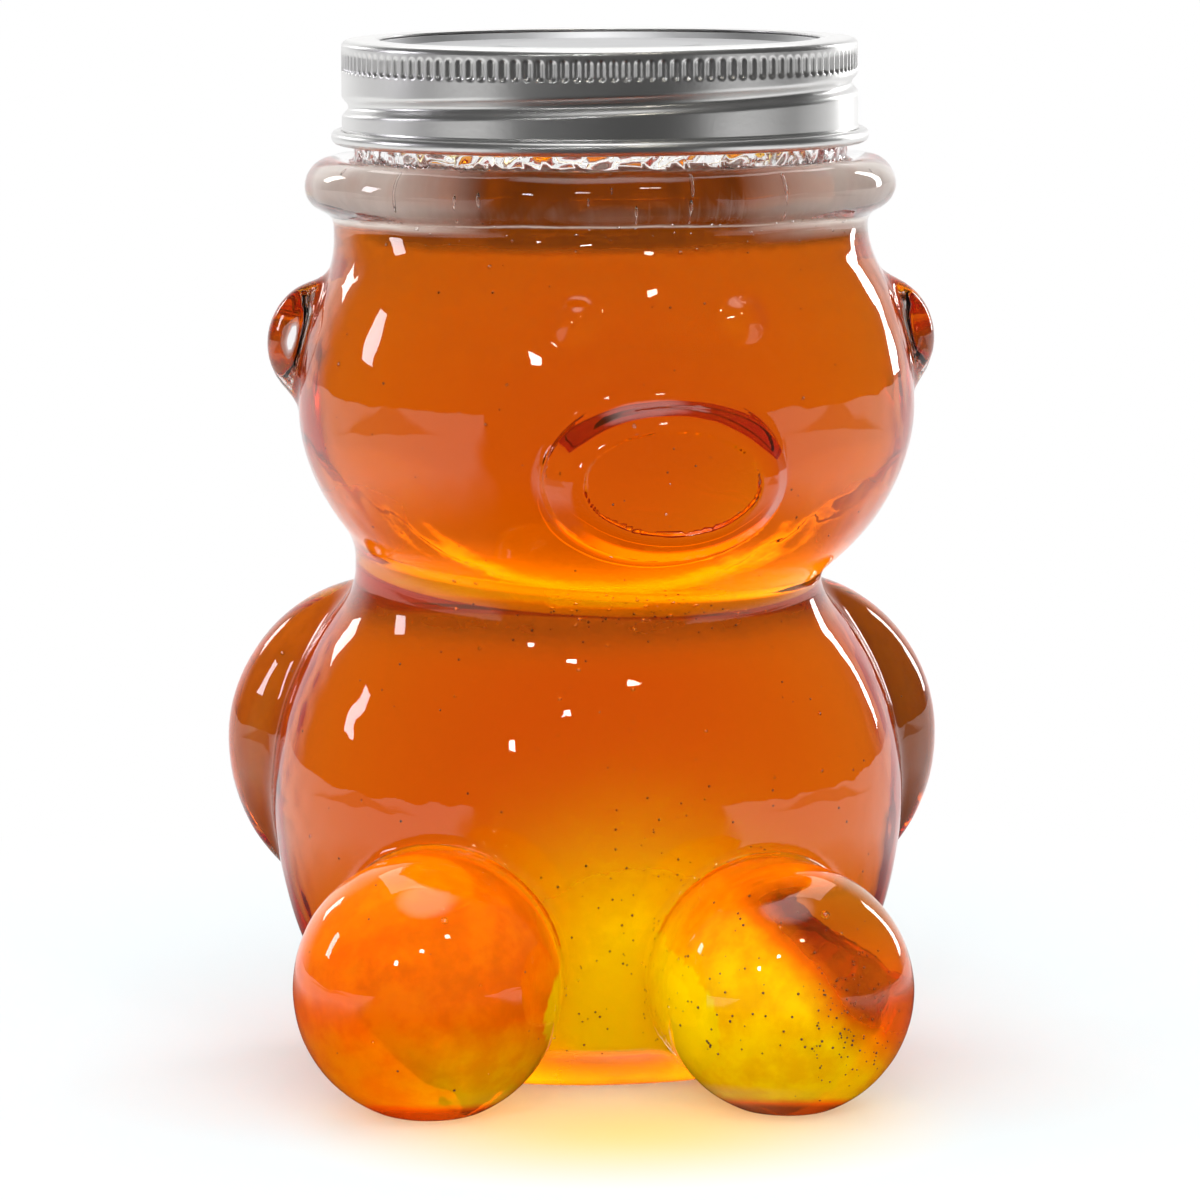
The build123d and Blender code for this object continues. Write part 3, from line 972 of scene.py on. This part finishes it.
# Lamps: name, turn, lift, distance, width, height, level, colour, and whether glass and tin mirror them
AIM_HEIGHT = 75.0
LAMP_POWER = 4.0
COOL = (0.95, 0.93, 1.0)
PLAIN_WHITE = (1.0, 1.0, 1.0)
WARM = (1.0, 0.93, 0.8)
SOFTBOXES = (
    ("left_strip", -103, 17, 900, 110, 230, 8, COOL, True),
    ("back_left", -140, 20, 1000, 120, 200, 5, PLAIN_WHITE, True),
    ("back_right", 135, 14, 1000, 90, 460, 8, PLAIN_WHITE, True),
    ("front_top", -10, 34, 900, 60, 50, 22, PLAIN_WHITE, True),
    ("front_side", -30, 22, 900, 45, 60, 22, PLAIN_WHITE, True),
    ("front_warm", 20, 48, 900, 60, 50, 22, WARM, True),
    ("back_top", 176, 60, 1000, 900, 700, 1.5, PLAIN_WHITE, True),
    ("front_fill", 0, 14, 1000, 900, 700, 1.65, PLAIN_WHITE, False),
)

# The room that metal mirrors and glass shows, by direction: an edge is where a level starts and ends
WALL_EDGE = (0.6, 0.93)
MIRRORED_ROOM_LEVEL = 0.06
SHEEN_EDGE = (0.93, 0.99)
SHEEN_LEVEL = 2.4
BRIGHT_EDGE = (0.1, 0.5)
SIDE_LEVEL = 0.3
DOME_EDGE = (0.3, 0.85)
DOME_LEVEL = 6.0

# The floor, whose places and radii below its height are in metres
FLOOR_HALF = 4000.0
FLOOR_HEIGHT = 0.02
PAPER = (0.7, 0.755, 0.77, 1)
# Painted glow: a warm tint and a glowing pool on the paper in front of the jar, where the honey focuses the
# light
PAINTED_GLOW_PAPER = (0.8, 0.56, 0.24, 1)
PAINTED_GLOW_SHARE = 0.9
POOL_COLOUR = (1.0, 0.6, 0.1, 1)
POOL_PLACE = (0.0, -0.058, 0.0)
POOL_RADIUS = 0.05
POOL_LEVEL = 0.3
TABLE_EDGE = (0.52, 0.5304)
TABLE_BACK = (0.1, 0.3)
SHADE_LEVEL = 0.06
SHADE_RADII = (0.08, 0.2)
FRONT_SHADE = (-0.02, 0.05)
FADE_RADII = (0.09, 0.24)

GLASS_BOUNCES = 28
MIRROR_BOUNCES = 12
CLEAR_BOUNCES = 32


def make_camera():
    """The photograph's view."""
    data = bpy.data.cameras.new("camera")
    data.sensor_width = SENSOR
    data.lens = SENSOR * FOCAL_PIXELS / PHOTO_PIXELS
    data.clip_start, data.clip_end = CAMERA_CLIP
    camera = bpy.data.objects.new("camera", data)
    turn, pitch = math.radians(CAMERA_TURN), math.radians(CAMERA_PITCH)
    ahead = Vector((-math.sin(turn), math.cos(turn), 0))
    right = Vector((math.cos(turn), math.sin(turn), 0))
    place = right * CAMERA_SIDE - ahead * CAMERA_DISTANCE + Vector((0, 0, CAMERA_HEIGHT))
    camera.location = place * MM
    look = ahead * math.cos(pitch) - Vector((0, 0, math.sin(pitch)))
    roll = Matrix.Rotation(math.radians(-CAMERA_ROLL), 3, "Z")
    camera.rotation_euler = (look.to_track_quat("-Z", "Y").to_matrix() @ roll).to_euler()
    bpy.context.scene.collection.objects.link(camera)
    bpy.context.scene.camera = camera


def make_softbox(name, turn, lift, distance, width, height, level, colour, mirrored):
    """A rectangular lamp that faces the jar. Turn 0 is the front, 90 the bear's left."""
    data = bpy.data.lights.new(name, "AREA")
    data.shape = "RECTANGLE"
    data.size = width * MM
    data.size_y = height * MM
    data.energy = level * LAMP_POWER * width * MM * height * MM
    data.color = colour
    lamp = bpy.data.objects.new(name, data)
    a, e = math.radians(turn), math.radians(lift)
    way = Vector((math.sin(a) * math.cos(e), -math.cos(a) * math.cos(e), math.sin(e)))
    lamp.location = (Vector((0, 0, AIM_HEIGHT)) + way * distance) * MM
    lamp.rotation_euler = way.to_track_quat("Z", "Y").to_euler()
    lamp.visible_transmission = False
    lamp.visible_glossy = mirrored
    bpy.context.scene.collection.objects.link(lamp)


def make_world():
    """White for the camera; a room with a white wall behind for reflections and glass."""
    world = bpy.data.worlds.new("studio")
    bpy.context.scene.world = world
    world.use_nodes = True
    tree = world.node_tree
    tree.nodes.clear()
    out = add(tree, "ShaderNodeOutputWorld")
    path = add(tree, "ShaderNodeLightPath")
    coordinates = add(tree, "ShaderNodeTexCoord")
    split = add(tree, "ShaderNodeSeparateXYZ")
    tree.links.new(coordinates.outputs["Generated"], split.inputs[0])
    along = combine(tree, "ABSOLUTE", split.outputs["Y"], None)
    wall = ramp(tree, split.outputs["Y"], *WALL_EDGE, MIRRORED_ROOM_LEVEL, 1.0)
    sheen = ramp(tree, split.outputs["Z"], *SHEEN_EDGE, 0.0, SHEEN_LEVEL)
    bright = ramp(tree, along, *BRIGHT_EDGE, SIDE_LEVEL, 1.0)
    dome = ramp(tree, split.outputs["Z"], *DOME_EDGE, 0.0, DOME_LEVEL)
    plain, mirrored, through, seen = (
        add(tree, "ShaderNodeBackground", Color=WHITE, Strength=1.0) for _ in range(4)
    )
    tree.links.new(combine(tree, "ADD", wall, sheen), mirrored.inputs["Strength"])
    tree.links.new(combine(tree, "ADD", bright, dome), through.inputs["Strength"])
    room = chosen(
        tree,
        plain,
        (path.outputs["Is Glossy Ray"], mirrored),
        (path.outputs["Is Transmission Ray"], through),
        (path.outputs["Is Camera Ray"], seen),
    )
    tree.links.new(room.outputs[0], out.inputs["Surface"])


def make_floor():
    """Pale paper, warm where the honey focuses the light.

    The camera sees it fade to white, metal mirrors it with a shade round the jar, and glass shows
    it as a white table.
    """
    mesh = bpy.data.meshes.new("floor")
    half, height = FLOOR_HALF * MM, FLOOR_HEIGHT * MM
    corners = [(x, y, height) for x, y in ((-half, -half), (half, -half), (half, half), (-half, half))]
    mesh.from_pydata(corners, [], [(0, 1, 2, 3)])
    floor = bpy.data.objects.new("floor", mesh)
    bpy.context.scene.collection.objects.link(floor)
    material, tree, out = new_material("floor_paper")
    paper = add(tree, "ShaderNodeBsdfDiffuse", Color=PAPER, Roughness=0.5)
    # The paper's painted warm glow and glowing pool in front of the jar
    warm = add(tree, "ShaderNodeBsdfDiffuse", Color=PAINTED_GLOW_PAPER, Roughness=0.5)
    pool = add(tree, "ShaderNodeEmission", Color=POOL_COLOUR)
    white = add(tree, "ShaderNodeEmission", Color=WHITE, Strength=1.0)
    mirrored = add(tree, "ShaderNodeEmission", Color=WHITE)
    table = add(tree, "ShaderNodeEmission", Color=WHITE)
    path = add(tree, "ShaderNodeLightPath")
    coordinates = add(tree, "ShaderNodeTexCoord").outputs["Object"]
    split = add(tree, "ShaderNodeSeparateXYZ")
    reach = add(tree, "ShaderNodeVectorMath", operation_="LENGTH")
    away = add(tree, "ShaderNodeVectorMath", operation_="DISTANCE")
    away.inputs[1].default_value = POOL_PLACE
    for node in (split, reach, away):
        tree.links.new(coordinates, node.inputs[0])
    reach, away = reach.outputs["Value"], away.outputs["Value"]

    along = combine(tree, "ABSOLUTE", split.outputs["Y"], None)
    near = ramp(tree, reach, *TABLE_EDGE, 1.0, SIDE_LEVEL)
    table_level = combine(tree, "MAXIMUM", near, ramp(tree, along, *TABLE_BACK, 0.0, 1.0))
    tree.links.new(table_level, table.inputs["Strength"])
    aside = combine(tree, "ADD", split.outputs["Y"], combine(tree, "ABSOLUTE", split.outputs["X"], None))
    shade = ramp(tree, reach, *SHADE_RADII, SHADE_LEVEL, 1.0)
    lit = combine(tree, "MULTIPLY", shade, ramp(tree, aside, *FRONT_SHADE, SHADE_LEVEL, 1.0))
    tree.links.new(combine(tree, "MULTIPLY", table_level, lit), mirrored.inputs["Strength"])
    tree.links.new(ramp(tree, away, 0.0, POOL_RADIUS, POOL_LEVEL, 0.0), pool.inputs["Strength"])

    tinted = chosen(tree, paper, (ramp(tree, away, 0.0, POOL_RADIUS, PAINTED_GLOW_SHARE, 0.0), warm))
    glowing = add(tree, "ShaderNodeAddShader")
    tree.links.new(tinted.outputs[0], glowing.inputs[0])
    tree.links.new(pool.outputs[0], glowing.inputs[1])
    fade = ramp(tree, reach, *FADE_RADII, 0.0, 1.0)
    surface = chosen(
        tree,
        glowing,
        (combine(tree, "MULTIPLY", path.outputs["Is Camera Ray"], fade), white),
        (path.outputs["Is Glossy Ray"], mirrored),
        (path.outputs["Is Transmission Ray"], table),
    )
    tree.links.new(surface.outputs[0], out.inputs["Surface"])
    mesh.materials.append(material)


def set_view():
    """Plain colours, and enough bounces for light to leave the glass and honey."""
    scene = bpy.context.scene
    scene.view_settings.view_transform = "Standard"
    scene.cycles.max_bounces = GLASS_BOUNCES
    scene.cycles.transmission_bounces = GLASS_BOUNCES
    scene.cycles.glossy_bounces = MIRROR_BOUNCES
    scene.cycles.transparent_max_bounces = CLEAR_BOUNCES
    scene.cycles.use_denoising = True


make_camera()
make_world()
for softbox in SOFTBOXES:
    make_softbox(*softbox)
make_floor()
make_jar()
make_honey()
make_specks()
make_bubbles()
make_band()
make_disc_finish()
set_view()
